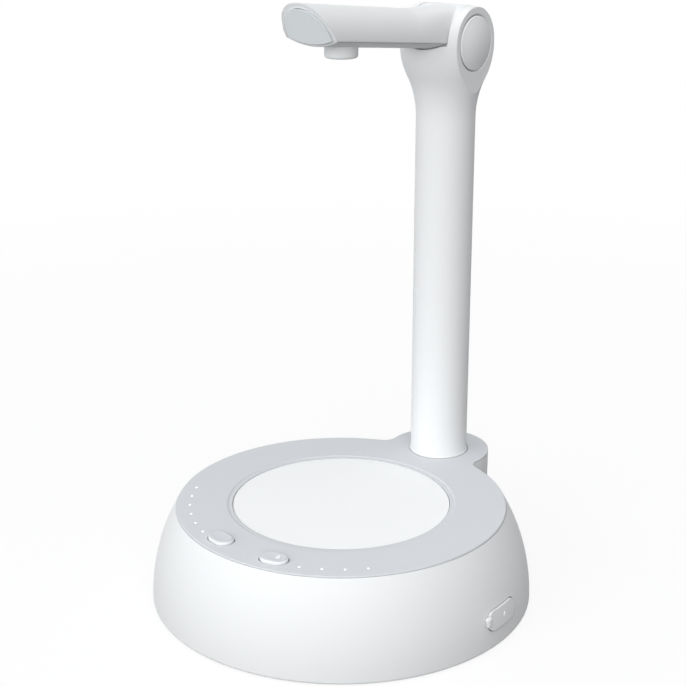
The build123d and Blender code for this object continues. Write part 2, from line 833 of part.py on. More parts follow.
def make_hinge_bushes():
    floor_x = ear_x - recess_t
    flange_x = floor_x + bush_flange_t
    bush = rod_x(bush_r, (slot_half_w, floor_x), 0, 0) + rod_x(bush_flange_r, (floor_x, flange_x), 0, 0)
    bush -= rod_x(axle_r + pin_gap, (slot_half_w, flange_x), 0, 0)
    return group(Pos(0, tower_y, hinge_z) * Rot(0, 0, turn) * bush for turn in (0, 180))


def make_hinge_caps():
    bulge = cap_rise - cap_shoulder
    ball_r = (cap_r**2 + bulge**2) / (bulge + bulge)
    cap = rod_x(cap_r, (ear_x - cap_t, ear_x + cap_rise), 0, 0)
    cap &= Pos(ear_x + cap_rise - ball_r) * Sphere(ball_r)
    rim = cap.edges().filter_by(GeomType.CIRCLE).sort_by(Axis.X)[-1]
    cap = fillet(rim, cap_edge)
    return group(Pos(0, tower_y, hinge_z) * Rot(0, 0, turn) * cap for turn in (0, 180))


def make_swivel_ring():
    x_span = (ring_x - ring_half_w, ring_x + ring_half_w)
    ring = rod_x(ring_r, x_span, 0, 0) + rod_z(spigot_r, ring_x, 0, (-ring_stem_l, 0))
    ring -= rod_x(axle_r + pin_gap, x_span, 0, 0)
    groove = (ring_x - ring_groove_w / 2, ring_x + ring_groove_w / 2)
    ring -= rod_x(ring_groove_r, groove, 0, 0)
    return Pos(0, tower_y, hinge_z) * (ring - rod_z(spigot_bore_r, ring_x, 0, (-ring_stem_l, 0)))


def make_hinge_axle():
    end_x = ear_x - recess_t + bush_flange_t + pin_gap
    axle = rod_x(axle_r, (-end_x, end_x), 0, 0)
    stub = Pos(stub_x) * Rot(90 - stub_angle, 0, 0) * rod_z(spigot_r, 0, 0, (0, stub_l))
    axle += stub
    axle -= rod_x(hinge_screw_r + pin_gap, (-end_x, end_x), 0, 0)
    axle -= Pos(stub_x) * Rot(90 - stub_angle, 0, 0) * rod_z(spigot_bore_r, 0, 0, (0, stub_l))
    axle -= rod_z(spigot_bore_r, ring_x, 0, (-axle_r, axle_r))
    return arm_frame() * axle


def make_hinge_screws():
    head_x = ear_x - recess_t + bush_flange_t + pin_gap
    body = Pos(head_x) * Rot(0, 90, 0) * screw(hinge_head_r, hinge_head_t, hinge_screw_r, hinge_screw_l)
    return group(arm_frame() * Rot(0, 0, turn) * body for turn in (0, 180))


# Arm outline across its length: an arch over two sharp corners, and a shallow belly
def arm_section(u, arch_h, round_share, inset, belly_inset):
    taper = (arm_tip_half_w - arm_root_half_w) / (arm_tip_u - drum_r)
    half_w = arm_root_half_w + taper * (u - drum_r) - inset
    points = []
    for step in range(arch_step_count + 1):
        swing = math.pi * step / arch_step_count
        across = math.copysign(abs(math.cos(swing)) ** round_share, math.cos(swing))
        above = abs(math.sin(swing)) ** round_share
        points.append((half_w * across, arm_corner_v + (arch_h - inset) * above))
    corner, far_corner = points[0], points[-1]
    arch = Spline(*points, tangents=((0, 1), (0, -1)))
    belly = ThreePointArc(far_corner, (0, arm_corner_v - arm_belly + belly_inset), corner)
    return Plane.XZ.offset(u) * make_face([arch, belly])


def arm_bar(inset):
    reach = arm_tip_u + arm_arch_h + overrun
    belly_inset = inset * end_belly_share
    sides = (arm_arch_h, arm_round_share, inset, belly_inset)
    return loft([arm_section(u, *sides) for u in (arm_blend_u, reach)])


def arm_root(inset):
    root = arm_section(arm_root_u, arm_root_arch_h, arm_root_round_share, inset, inset)
    return loft([root, arm_section(arm_blend_u, arm_arch_h, arm_round_share, inset, inset)])


def end_plane(depth):
    tip = Plane((0, -arm_tip_u, arm_corner_v), x_dir=(1, 0, 0), z_dir=(0, -1, -arm_lean_share))
    return tip.offset(-depth)


def upper_half():
    reach = arm_tip_u + arm_arch_h + overrun + overrun
    return block((-base_r, base_r), (-reach, reach), (arm_corner_v, reach))


def end_pocket():
    return split(arm_bar(end_rim), end_plane(end_t + pin_gap), Keep.TOP)


def make_arm_shell():
    bar = (split(arm_bar(0), end_plane(0), Keep.BOTTOM) + arm_root(0)) & upper_half()
    half = (-drum_half_w, drum_half_w)
    drum = rod_x(drum_r, half, 0, 0)
    shell = bar + fillet(drum.edges().filter_by(GeomType.CIRCLE), drum_edge)
    inner_half = (-drum_half_w + drum_wall, drum_half_w - drum_wall)
    shell -= rod_x(drum_r - drum_wall, inner_half, 0, 0)
    hollow_end = end_plane(end_t + end_web)
    shell -= split(arm_bar(arm_wall), hollow_end, Keep.BOTTOM) + arm_root(arm_wall)
    shell -= end_pocket()
    shell -= rod_x(axle_r + pin_gap, half, 0, 0)
    shell -= drum_slot()
    return arm_frame() * shell


# Opening in the drum through which the fixed water stem passes over the whole fold
def drum_slot():
    reach = drum_r + drum_r
    points = [(0, 0)]
    for angle in drum_slot_angles:
        points.append((reach * math.sin(math.radians(angle)), -reach * math.cos(math.radians(angle))))
    wedge = Plane.YZ.offset(ring_x - drum_slot_w / 2) * make_face(Polyline(*points, close=True))
    return extrude(wedge, drum_slot_w)


def make_arm_lower_cover():
    bar = split(arm_bar(0), end_plane(0), Keep.BOTTOM) + arm_root(0)
    cover = bar - upper_half() - rod_x(drum_r + drop_gap, (-base_r, base_r), 0, 0)
    cover -= end_pocket()
    hole = rod_z(nozzle_r + pin_gap, 0, 0, (-nozzle_drop, nozzle_flange_t))
    return arm_frame() * (cover - nozzle_frame() * hole)


def make_arm_end_cap():
    cap = split(arm_bar(end_rim + drop_gap), end_plane(-end_proud), Keep.BOTTOM)
    return arm_frame() * split(cap, end_plane(end_t), Keep.TOP)


# The nozzle's collar hangs straight down from the tilted arm
def nozzle_frame():
    return Pos(0, -nozzle_u, arm_corner_v) * Rot(arm_tilt_angle, 0, 0)


def make_nozzle():
    flange_top = arm_corner_v + nozzle_flange_t
    head_top = arm_tube_v + nozzle_head_t
    collar = rod_z(nozzle_r, 0, 0, (-nozzle_drop, nozzle_flange_t))
    collar = fillet(collar.edges().group_by(Axis.Z)[0], nozzle_edge)
    body = nozzle_frame() * collar
    body += rod_z(nozzle_flange_r, 0, -nozzle_u, (arm_corner_v, flange_top))
    body += rod_z(nozzle_head_r, 0, -nozzle_u, (flange_top, head_top))
    body += rod_y(spigot_r, 0, (-nozzle_u, -nozzle_u + nozzle_head_r + spigot_l), arm_tube_v)
    body -= rod_y(spigot_bore_r, 0, (-nozzle_u, -nozzle_u + nozzle_head_r + spigot_l), arm_tube_v)
    body -= rod_z(spigot_bore_r, 0, -nozzle_u, (arm_corner_v - nozzle_drop, arm_tube_v))
    return arm_frame() * (body - nozzle_frame() * rod_z(nozzle_bore_r, 0, 0, (-nozzle_drop, 0)))


def make_stream_straightener():
    low_v = straight_lift - nozzle_drop
    span = (low_v, low_v + straight_t)
    disc = rod_z(nozzle_bore_r - pin_gap, 0, 0, span) - rod_z(straight_hole_r, 0, 0, span)
    ring_hole = rod_z(straight_hole_r, nozzle_bore_r * straight_ring_share, 0, span)
    for hole in range(straight_hole_count):
        disc -= Rot(0, 0, 360 * hole / straight_hole_count) * ring_hole
    return arm_frame() * nozzle_frame() * disc


def make_arm_tube():
    start_r = ring_r + tube_stop_gap
    angle = math.radians(stub_angle)
    start = (stub_x, -start_r * math.cos(angle), start_r * math.sin(angle))
    bend = (stub_x, -arm_tube_v / math.tan(angle), arm_tube_v)
    turn = (stub_x, -arm_tube_turn_u, arm_tube_v)
    straight = (0, -arm_tube_straight_u, arm_tube_v)
    end = (0, -nozzle_u + nozzle_head_r + tube_stop_gap, arm_tube_v)
    return arm_frame() * tube(FilletPolyline(start, bend, turn, straight, end, radius=arm_tube_bend_r))


save(make_base_shell(), "base_shell")
save(make_bottom_cover(), "bottom_cover")
save(make_foot_pads(), "foot_pads")
save(make_bottom_screws(), "bottom_screws")
save(make_top_panel(), "top_panel")
save(make_cup_mat(), "cup_mat")
save(make_button(-1), "amount_button")
save(make_button(1), "start_button")
save(make_switch_bodies(), "switch_bodies")
save(make_light_guides(amount_angles), "amount_light_guides")
save(make_light_guides(charge_angles), "charge_light_guides")
save(make_indicator_leds(), "indicator_leds")
save(make_control_board(), "control_board")
save(make_control_board_screws(), "control_board_screws")
save(make_main_board(), "main_board")
save(make_main_board_screws(), "main_board_screws")
save(make_charging_socket(), "charging_socket")
save(make_port_cover(), "port_cover")
save(make_battery_cell(), "battery_cell")
save(make_battery_cradle(), "battery_cradle")
save(make_motor_can(), "motor_can")
save(make_motor_end_cap(), "motor_end_cap")
save(make_drive_shaft(), "drive_shaft")
save(make_gear(-gear_r, 0), "drive_gear")
save(make_gear(gear_r, math.pi / gear_tooth_count), "driven_gear")
save(make_driven_pin(), "driven_pin")
save(make_pump_housing(), "pump_housing")
save(make_pump_cover(), "pump_cover")
save(make_pump_screws(), "pump_screws")
save(make_hose_inlet(), "hose_inlet")
save(make_inlet_nut(), "inlet_nut")
save(make_suction_tube(), "suction_tube")
save(make_delivery_tube(), "delivery_tube")
save(make_tower_shell(), "tower_shell")
save(make_tower_rear_cover(), "tower_rear_cover")
save(make_tower_nut(), "tower_nut")
save(make_hinge_bushes(), "hinge_bushes")
save(make_hinge_caps(), "hinge_caps")
save(make_swivel_ring(), "swivel_ring")
save(make_hinge_axle(), "hinge_axle")
save(make_hinge_screws(), "hinge_screws")
save(make_arm_shell(), "arm_shell")
save(make_arm_lower_cover(), "arm_lower_cover")
save(make_arm_end_cap(), "arm_end_cap")
save(make_nozzle(), "nozzle")
save(make_stream_straightener(), "stream_straightener")
save(make_arm_tube(), "arm_tube")
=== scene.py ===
import json
import math

import bmesh
import bpy
from mathutils import Matrix, Vector


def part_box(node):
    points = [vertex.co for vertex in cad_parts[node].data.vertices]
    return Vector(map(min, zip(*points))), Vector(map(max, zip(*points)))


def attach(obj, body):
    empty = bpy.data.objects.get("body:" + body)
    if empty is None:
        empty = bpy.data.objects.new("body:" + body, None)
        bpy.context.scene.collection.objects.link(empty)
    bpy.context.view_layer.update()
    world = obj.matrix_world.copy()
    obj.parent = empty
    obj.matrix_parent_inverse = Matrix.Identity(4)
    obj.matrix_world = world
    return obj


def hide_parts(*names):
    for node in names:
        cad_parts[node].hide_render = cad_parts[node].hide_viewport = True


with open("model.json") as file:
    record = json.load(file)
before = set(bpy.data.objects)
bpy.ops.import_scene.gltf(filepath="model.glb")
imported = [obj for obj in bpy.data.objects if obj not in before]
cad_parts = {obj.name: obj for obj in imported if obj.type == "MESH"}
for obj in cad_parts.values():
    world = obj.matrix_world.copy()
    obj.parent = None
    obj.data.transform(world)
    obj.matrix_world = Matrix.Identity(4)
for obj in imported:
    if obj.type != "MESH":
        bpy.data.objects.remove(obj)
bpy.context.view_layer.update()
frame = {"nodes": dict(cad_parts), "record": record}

nodes = frame["nodes"]
record = frame["record"]
mm = 0.001
baseCentreY = -11.2
toBase = Matrix.Translation(Vector((0.0, baseCentreY * mm, 0.0)))
halfStep = 0.5


# A socket that can be added, scaled and so on: each sum adds a Math node
class Wire:
    def __init__(self, graph, socket):
        self.graph = graph
        self.socket = socket

    def maths(self, operation, *values):
        return self.graph.node("ShaderNodeMath", {"operation": operation}, dict(enumerate(values)))

    def __add__(self, other):
        return self.maths("ADD", self, other)

    def __radd__(self, other):
        return self.maths("ADD", other, self)

    def __sub__(self, other):
        return self.maths("SUBTRACT", self, other)

    def __rsub__(self, other):
        return self.maths("SUBTRACT", other, self)

    def __mul__(self, other):
        return self.maths("MULTIPLY", self, other)

    def __rmul__(self, other):
        return self.maths("MULTIPLY", other, self)

    def __truediv__(self, other):
        return self.maths("DIVIDE", self, other)

    def __rtruediv__(self, other):
        return self.maths("DIVIDE", other, self)

    def __mod__(self, other):
        return self.maths("MODULO", self, other)

    def __neg__(self):
        return self.maths("MULTIPLY", self, -1.0)

    def sine(self):
        return self.maths("SINE", self)

    def cosine(self):
        return self.maths("COSINE", self)

    def floor(self):
        return self.maths("FLOOR", self)

    def atLeast(self, other):
        return self.maths("MAXIMUM", self, other)

    def atMost(self, other):
        return self.maths("MINIMUM", self, other)


# A node tree, and one way to add any node to it
class Graph:
    def __init__(self, tree):
        self.tree = tree

    def node(self, kind, settings=None, sockets=None, out=0):
        made = self.tree.nodes.new(kind)
        for key, value in (settings or {}).items():
            setattr(made, key, value)
        for key, value in (sockets or {}).items():
            if isinstance(value, Wire):
                self.tree.links.new(value.socket, made.inputs[key])
            else:
                made.inputs[key].default_value = value
        return Wire(self, made.outputs[out])

    def mixColour(self, factor, first, second):
        return self.node("ShaderNodeMix", {"data_type": "RGBA"}, {0: factor, 6: first, 7: second}, out=2)


# A material's tree, with the noise, the bump and the closing shader that most finishes use
class Finish(Graph):
    def __init__(self, name):
        self.material = bpy.data.materials.new(name)
        self.material.use_nodes = True
        super().__init__(self.material.node_tree)
        self.tree.nodes.clear()

    def spot(self):
        return self.node("ShaderNodeTexCoord", out="Object")

    def noise(self, scale, detail, **more):
        sockets = {"Vector": self.spot(), "Scale": scale, "Detail": detail, **more}
        return self.node("ShaderNodeTexNoise", {}, sockets)

    def bump(self, relief, strength, height, **more):
        sockets = {"Strength": strength, "Distance": height * mm, "Height": relief, **more}
        return self.node("ShaderNodeBump", {}, sockets)

    def shade(self, sockets):
        shader = self.node("ShaderNodeBsdfPrincipled", {}, sockets)
        self.close(shader)
        return self.material

    def close(self, shader):
        out = self.tree.nodes.new("ShaderNodeOutputMaterial")
        self.tree.links.new(shader.socket, out.inputs["Surface"])


def opaque(colour):
    return (*colour, 1.0)


black = opaque((0.0, 0.0, 0.0))
white = opaque((1.0, 1.0, 1.0))

# What the finishes share: noise detail, noise middle, relief heights in mm and refraction
fine = {"cloudDetail": 2.0, "speckDetail": 3.0, "grainDetail": 4.0, "lineDetail": 5.0, "grainRough": 0.6,
        "middle": 0.5, "grainHeight": 0.05, "lineHeight": 0.02, "trackHeight": 0.03, "edgeSamples": 8,
        "plasticIor": 1.46, "lensIor": 1.49}


# Moulded plastic: a clouded tone, spark-eroded grain and softened edges
def mouldedPlastic(name, look):
    finish = Finish(name)
    cloud = finish.noise(look["cloudScale"], fine["cloudDetail"])
    grain = finish.noise(look["grainScale"], fine["grainDetail"], Roughness=fine["grainRough"])
    tone = finish.mixColour(cloud, opaque(look["shade"]), opaque(look["colour"]))
    edge = finish.node("ShaderNodeBevel", {"samples": fine["edgeSamples"]}, {"Radius": look["edgeRound"] * mm})
    normal = finish.bump(grain, look["grainDepth"], fine["grainHeight"], Normal=edge)
    rough = look["rough"] + (grain - fine["middle"]) * look["roughSpread"]
    rough = rough + (cloud - fine["middle"]) * look["roughCloud"]
    return finish.shade({"Base Color": tone, "Roughness": rough, "Normal": normal,
                         "IOR": fine["plasticIor"], "Specular IOR Level": look["gloss"]})


satinWhite = {"colour": (0.865, 0.872, 0.878), "shade": (0.845, 0.853, 0.86), "cloudScale": 18.0,
              "grainScale": 1600.0, "grainDepth": 0.10, "rough": 0.46, "roughSpread": 0.14,
              "roughCloud": 0.05, "edgeRound": 0.5, "gloss": 0.1}
armWhite = dict(satinWhite, edgeRound=0.7)
mattGrey = {"colour": (0.69, 0.704, 0.727), "shade": (0.67, 0.684, 0.707), "cloudScale": 22.0,
            "grainScale": 2200.0, "grainDepth": 0.16, "rough": 0.55, "roughSpread": 0.18,
            "roughCloud": 0.05, "edgeRound": 0.6, "gloss": 0.3}
paleInsert = {"colour": (0.845, 0.885, 0.90), "shade": (0.825, 0.865, 0.88), "cloudScale": 60.0,
              "grainScale": 2600.0, "grainDepth": 0.08, "rough": 0.42, "roughSpread": 0.12,
              "roughCloud": 0.04, "edgeRound": 0.3, "gloss": 0.4}
whiteSilicone = {"colour": (0.965, 0.97, 0.97), "shade": (0.95, 0.955, 0.957), "cloudScale": 30.0,
                 "grainScale": 3000.0, "grainDepth": 0.12, "rough": 0.62, "roughSpread": 0.14,
                 "roughCloud": 0.06, "edgeRound": 0.25, "gloss": 0.3}
flapSilicone = {"colour": (0.85, 0.857, 0.865), "shade": (0.83, 0.838, 0.846), "cloudScale": 80.0,
                "grainScale": 3200.0, "grainDepth": 0.12, "rough": 0.58, "roughSpread": 0.12,
                "roughCloud": 0.05, "edgeRound": 0.5, "gloss": 0.25}
footRubber = {"colour": (0.075, 0.077, 0.08), "shade": (0.06, 0.062, 0.065), "cloudScale": 120.0,
              "grainScale": 1800.0, "grainDepth": 0.35, "rough": 0.78, "roughSpread": 0.2,
              "roughCloud": 0.1, "edgeRound": 0.3, "gloss": 0.25}
innerPlastic = {"colour": (0.70, 0.70, 0.675), "shade": (0.66, 0.66, 0.64), "cloudScale": 40.0,
                "grainScale": 1200.0, "grainDepth": 0.25, "rough": 0.55, "roughSpread": 0.2,
                "roughCloud": 0.1, "edgeRound": 0.3, "gloss": 0.4}
acetal = {"colour": (0.83, 0.79, 0.67), "shade": (0.79, 0.75, 0.63), "cloudScale": 90.0,
          "grainScale": 1500.0, "grainDepth": 0.12, "rough": 0.4, "roughSpread": 0.12,
          "roughCloud": 0.06, "edgeRound": 0.15, "gloss": 0.5}
softTube = {"colour": (0.80, 0.82, 0.83), "shade": (0.74, 0.765, 0.78), "cloudScale": 150.0,
            "grainScale": 900.0, "grainDepth": 0.1, "rough": 0.3, "roughSpread": 0.12,
            "roughCloud": 0.1, "edgeRound": 0.2, "gloss": 0.5}


# Drawn or turned metal: fine scratches along one direction
def drawnMetal(name, look):
    finish = Finish(name)
    stretched = finish.node("ShaderNodeMapping", {}, {"Vector": finish.spot(), "Scale": look["stretch"]})
    lines = finish.node("ShaderNodeTexNoise", {}, {"Vector": stretched, "Scale": look["lineScale"],
                                                   "Detail": fine["lineDetail"]})
    cloud = finish.noise(look["cloudScale"], fine["cloudDetail"])
    tone = finish.mixColour(cloud, opaque(look["shade"]), opaque(look["colour"]))
    normal = finish.bump(lines, look["lineDepth"], fine["lineHeight"])
    rough = look["rough"] + (lines - fine["middle"]) * look["roughSpread"]
    return finish.shade({"Base Color": tone, "Metallic": 1.0, "Roughness": rough, "Normal": normal})


plainSteel = {"colour": (0.60, 0.61, 0.63), "shade": (0.52, 0.53, 0.55), "stretch": (1.0, 1.0, 14.0),
              "lineScale": 700.0, "lineDepth": 0.12, "cloudScale": 150.0, "rough": 0.3, "roughSpread": 0.25}
motorMetal = {"colour": (0.66, 0.67, 0.69), "shade": (0.58, 0.59, 0.61), "stretch": (9.0, 1.0, 9.0),
              "lineScale": 500.0, "lineDepth": 0.12, "cloudScale": 90.0, "rough": 0.36, "roughSpread": 0.25}


# Circuit board: green lacquer over slightly raised copper tracks
def boardLacquer(name, look):
    finish = Finish(name)
    cells = finish.node("ShaderNodeTexBrick", {"offset": look["trackShift"]},
                        {"Vector": finish.spot(), "Scale": look["trackScale"],
                         "Mortar Size": look["trackWidth"],
                         "Color1": black, "Color2": black, "Mortar": white}, out="Fac")
    speck = finish.noise(look["speckScale"], fine["speckDetail"])
    tone = finish.mixColour(cells, opaque(look["colour"]), opaque(look["track"]))
    tone = finish.mixColour(speck * look["speckShare"], tone, opaque(look["shade"]))
    normal = finish.bump(cells, look["trackDepth"], fine["trackHeight"])
    rough = look["rough"] + speck * look["roughSpread"]
    return finish.shade({"Base Color": tone, "Roughness": rough, "Normal": normal})


greenBoard = {"colour": (0.012, 0.095, 0.035), "track": (0.02, 0.15, 0.055), "shade": (0.008, 0.06, 0.022),
              "trackScale": 260.0, "trackShift": 0.5, "trackWidth": 0.06, "trackDepth": 0.3,
              "speckScale": 500.0, "speckShare": 0.3, "rough": 0.3, "roughSpread": 0.15}


# Film round the cell: a smooth wrap with a paler band at one end
def cellFilm(name, look):
    finish = Finish(name)
    apart = finish.node("ShaderNodeSeparateXYZ", {}, {0: finish.spot()}, out="X")
    band = ((apart - look["bandX"] * mm) * look["bandSharp"]).atLeast(0.0).atMost(1.0)
    wrinkle = finish.noise(look["wrinkleScale"], fine["cloudDetail"])
    tone = finish.mixColour(band, opaque(look["colour"]), opaque(look["band"]))
    normal = finish.bump(wrinkle, look["wrinkleDepth"], fine["grainHeight"])
    rough = look["rough"] + wrinkle * look["roughSpread"]
    return finish.shade({"Base Color": tone, "Roughness": rough, "Normal": normal})


blueFilm = {"colour": (0.02, 0.09, 0.25), "band": (0.55, 0.57, 0.6), "bandX": 28.0, "bandSharp": 4000.0,
            "wrinkleScale": 300.0, "wrinkleDepth": 0.15, "rough": 0.25, "roughSpread": 0.12}


# Milky lens or lamp face: a hazy tone with a faint glow
def milkyLens(name, look):
    finish = Finish(name)
    haze = finish.noise(look["hazeScale"], fine["cloudDetail"])
    tone = finish.mixColour(haze, opaque(look["shade"]), opaque(look["colour"]))
    rough = look["rough"] + haze * look["roughSpread"]
    return finish.shade({"Base Color": tone, "Roughness": rough, "Emission Color": tone,
                         "Emission Strength": look["glow"], "IOR": fine["lensIor"]})


lensLook = {"colour": (0.97, 0.98, 0.985), "shade": (0.93, 0.94, 0.95), "hazeScale": 1500.0, "glow": 0.12,
            "rough": 0.22, "roughSpread": 0.1}
lampLook = {"colour": (0.90, 0.87, 0.60), "shade": (0.85, 0.80, 0.52), "hazeScale": 1200.0, "glow": 0.05,
            "rough": 0.22, "roughSpread": 0.1}

finishes = {
    "white_plastic": mouldedPlastic("satinWhite", satinWhite),
    "grey_plastic": mouldedPlastic("mattGrey", mattGrey),
    "end_insert": mouldedPlastic("paleInsert", paleInsert),
    "mat_silicone": mouldedPlastic("whiteSilicone", whiteSilicone),
    "flap_silicone": mouldedPlastic("flapSilicone", flapSilicone),
    "foot_rubber": mouldedPlastic("footRubber", footRubber),
    "light_guide": milkyLens("milkyLens", lensLook),
    "inner_plastic": mouldedPlastic("innerPlastic", innerPlastic),
    "gear_plastic": mouldedPlastic("acetal", acetal),
    "board": boardLacquer("greenBoard", greenBoard),
    "led": milkyLens("lampFace", lampLook),
    "steel": drawnMetal("plainSteel", plainSteel),
    "cell_wrap": cellFilm("blueFilm", blueFilm),
    "motor_metal": drawnMetal("motorMetal", motorMetal),
    "tube_silicone": mouldedPlastic("softTube", softTube),
}
for entry in record["subparts"]:
    mesh = nodes[entry["node"]].data
    mesh.materials.clear()
    mesh.materials.append(finishes[entry["material_slot"]])
armFinish = mouldedPlastic("armWhite", armWhite)
for name in ("arm_shell", "arm_lower_cover"):
    nodes[name].data.materials[0] = armFinish
print("finishes made:", len(finishes) + 1)


# A bmesh becomes a piece that rides on a body and stands for CAD nodes
def keepPiece(made, name, slot, body, replaced, sharp):
    bmesh.ops.recalc_face_normals(made, faces=made.faces)
    mesh = bpy.data.meshes.new(name)
    made.to_mesh(mesh)
    made.free()
    keepMesh(mesh, name, slot, body, replaced, sharp)


def keepMesh(mesh, name, slot, body, replaced, sharp):
    mesh.materials.clear()
    mesh.materials.append(finishes[slot])
    mesh.shade_smooth()
    mesh.set_sharp_from_angle(angle=math.radians(sharp))
    piece = bpy.data.objects.new(name, mesh)
    bpy.context.scene.collection.objects.link(piece)
    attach(piece, body)
    if replaced:
        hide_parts(*replaced)


# Rings of points joined into a skin; a ring of one point closes it
def skinRings(made, rings):
    rings = [[made.verts.new(point) for point in ring] for ring in rings]
    for low, high in zip(rings, rings[1:]):
        steps = max(len(low), len(high))
        for step in range(steps):
            corners = [low[step % len(low)], low[(step + 1) % len(low)],
                       high[(step + 1) % len(high)], high[step % len(high)]]
            made.faces.new(list(dict.fromkeys(corners)))
    for ring in (rings[0], rings[-1]):
        if len(ring) > 2:
            made.faces.new(ring)


# Rings of points joined into a closed hoop
def joinLoops(made, rings):
    loops = [[made.verts.new(point) for point in ring] for ring in rings]
    for low, high in zip(loops, loops[1:] + loops[:1]):
        for step in range(len(low)):
            after = (step + 1) % len(low)
            made.faces.new((low[step], low[after], high[after], high[step]))


def lathe(profile, steps):
    made = bmesh.new()
    turns = [math.tau * step / steps for step in range(steps)]
    rings = []
    for radius, height in profile:
        ring = [(radius * mm * math.cos(turn), radius * mm * math.sin(turn), height * mm) for turn in turns]
        rings.append(ring if radius else ring[:1])
    skinRings(made, rings)
    return made


def quarterRound(radius, height, edge, steps):
    turns = [math.pi / 2 * step / steps for step in range(steps + 1)]
    return [(radius - edge + edge * math.sin(turn), height - edge + edge * math.cos(turn)) for turn in turns]


# Domed round caps that close the hinge on both sides
hingeCap = {"radius": 9.9, "rise": 2.2, "shoulder": 0.35, "edge": 0.55, "back": 0.5, "earX": 12.56,
            "hingeY": 53.0, "hingeZ": 198.2, "domeSteps": 14, "edgeSteps": 8, "steps": 144,
            "turns": (90.0, -90.0), "sharp": 50.0}


def makeHingeCaps(size):
    flat = size["radius"] - size["edge"]
    profile = []
    for step in range(size["domeSteps"]):
        share = step / size["domeSteps"]
        profile.append((flat * share, size["rise"] - (size["rise"] - size["shoulder"]) * share**2))
    profile += quarterRound(size["radius"], size["shoulder"], size["edge"], size["edgeSteps"])
    profile += [(size["radius"], -size["back"]), (0.0, -size["back"])]
    whole = bmesh.new()
    for turn in size["turns"]:
        made = lathe(profile, size["steps"])
        toEar = Matrix.Translation(Vector((0.0, size["hingeY"] * mm, size["hingeZ"] * mm)))
        toEar = toEar @ Matrix.Rotation(math.radians(turn), 4, "Y")
        toEar = toEar @ Matrix.Translation(Vector((0.0, 0.0, size["earX"] * mm)))
        made.transform(toEar)
        mesh = bpy.data.meshes.new("hingeCapSide")
        made.to_mesh(mesh)
        made.free()
        whole.from_mesh(mesh)
        bpy.data.meshes.remove(mesh)
    keepPiece(whole, "hingeCapPair", "white_plastic", "base", ["hinge_caps"], size["sharp"])


makeHingeCaps(hingeCap)
print("hinge caps done")


# Pill-shaped buttons: a shallow finger dish in a white rim. The white rim is a painted highlight: white
# plastic over the side wall and the lower part of the rounded edge stands in for the bright front lip, and it
# stops below the top face.
button = {"amountAngle": -14.35, "startAngle": 12.25, "ringR": 53.6, "length": 10.3, "width": 7.2,
          "top": 37.0, "low": 33.4, "edge": 0.6, "edgeShares": (0.85, 1.0), "lip": 0.7,
          "lipShares": ((0.5, 0.15), (1.0, 0.5)), "dish": 0.12, "dishStart": 0.7,
          "dishShares": (0.5, 0.75, 0.95), "highlightRimShare": 0.67, "highlightRimSteps": 8, "highlightRimFit": 0.04,
          "steps": 96, "sharp": 40.0, "highlightRimSharp": 50.0}


def pillRing(length, width, inset, height, steps):
    reach = (length - width) / 2
    ring = []
    for step in range(steps):
        turn = math.tau * (step + halfStep) / steps
        side = math.copysign(reach, math.cos(turn))
        radius = width / 2 - inset
        ring.append(((side + radius * math.cos(turn)) * mm, radius * math.sin(turn) * mm, height * mm))
    return ring


def panelPlace(angle, ringR):
    turn = Matrix.Rotation(math.radians(angle), 4, "Z")
    return toBase @ turn @ Matrix.Translation(Vector((0.0, -ringR * mm, 0.0)))


# Inset and height at a share of the way over the button's rounded edge
def overEdge(size, share):
    turn = math.pi / 2 * share
    return size["edge"] * (1 - math.cos(turn)), size["top"] - size["edge"] * (1 - math.sin(turn))


# Painted highlight: a white ring over each button's side and the lower part of its rounded edge, where the
# front lip catches the light
def makeButtonHighlightRim(size, angle, name, node):
    levels = [(0.0, size["low"])]
    for step in range(size["highlightRimSteps"] + 1):
        levels.append(overEdge(size, size["highlightRimShare"] * step / size["highlightRimSteps"]))
    levels.append((levels[-1][0], size["low"]))
    made = bmesh.new()
    joinLoops(made, [pillRing(size["length"], size["width"], inset, height, size["steps"])
                     for inset, height in levels])
    made.transform(panelPlace(angle, size["ringR"]))
    keepPiece(made, name, "white_plastic", node, (), size["highlightRimSharp"])


def makeButton(size, angle, name, node):
    inset, height = overEdge(size, size["highlightRimShare"])
    levels = [(inset + size["highlightRimFit"], size["low"]), (inset + size["highlightRimFit"], height)]
    levels += [overEdge(size, share) for share in size["edgeShares"]]
    for across, down in size["lipShares"]:
        levels.append((size["edge"] + size["lip"] * across, size["top"] - size["dish"] * down))
    for share in size["dishShares"]:
        depth = size["dish"] * (size["dishStart"] + (1 - size["dishStart"]) * share)
        levels.append((size["width"] / 2 * share, size["top"] - depth))
    made = bmesh.new()
    skinRings(made, [pillRing(size["length"], size["width"], inset, height, size["steps"])
                     for inset, height in levels])
    made.transform(panelPlace(angle, size["ringR"]))
    keepPiece(made, name, "grey_plastic", node, [node], size["sharp"])


makeButton(button, button["amountAngle"], "amountButtonCap", "amount_button")
makeButtonHighlightRim(button, button["amountAngle"], "amountButtonRim", "amount_button")
makeButton(button, button["startAngle"], "startButtonCap", "start_button")
makeButtonHighlightRim(button, button["startAngle"], "startButtonRim", "start_button")
print("buttons done")


# Small raised marks: a drop on the start button and a bolt on the charging cover. Both take the milky lens
# finish, so they glow faintly though no lamp is under them: a painted glow, and on the drop a painted
# highlight as well.
dropMark = {"radius": 0.75, "tip": 1.65, "wall": 0.3, "raise": 0.1, "aside": 1.5, "deckShare": 0.5,
            "steps": 40, "sharp": 40.0}
boltMark = {"height": 2.1, "width": 1.2, "raise": 0.1, "sink": 0.2, "aside": 1.45, "sharp": 30.0, "rayX": 1.0,
            "outline": ((0.25, 1.0), (-1.0, -0.15), (-0.1, -0.15), (-0.25, -1.0), (1.0, 0.15), (0.1, 0.15))}


def dropOutline(radius, tip, steps):
    spread = math.acos(radius / tip)
    points = [(0.0, tip)]
    for step in range(steps + 1):
        turn = math.pi / 2 + spread + (math.tau - 2 * spread) * step / steps
        points.append((radius * math.cos(turn), radius * math.sin(turn)))
    return points
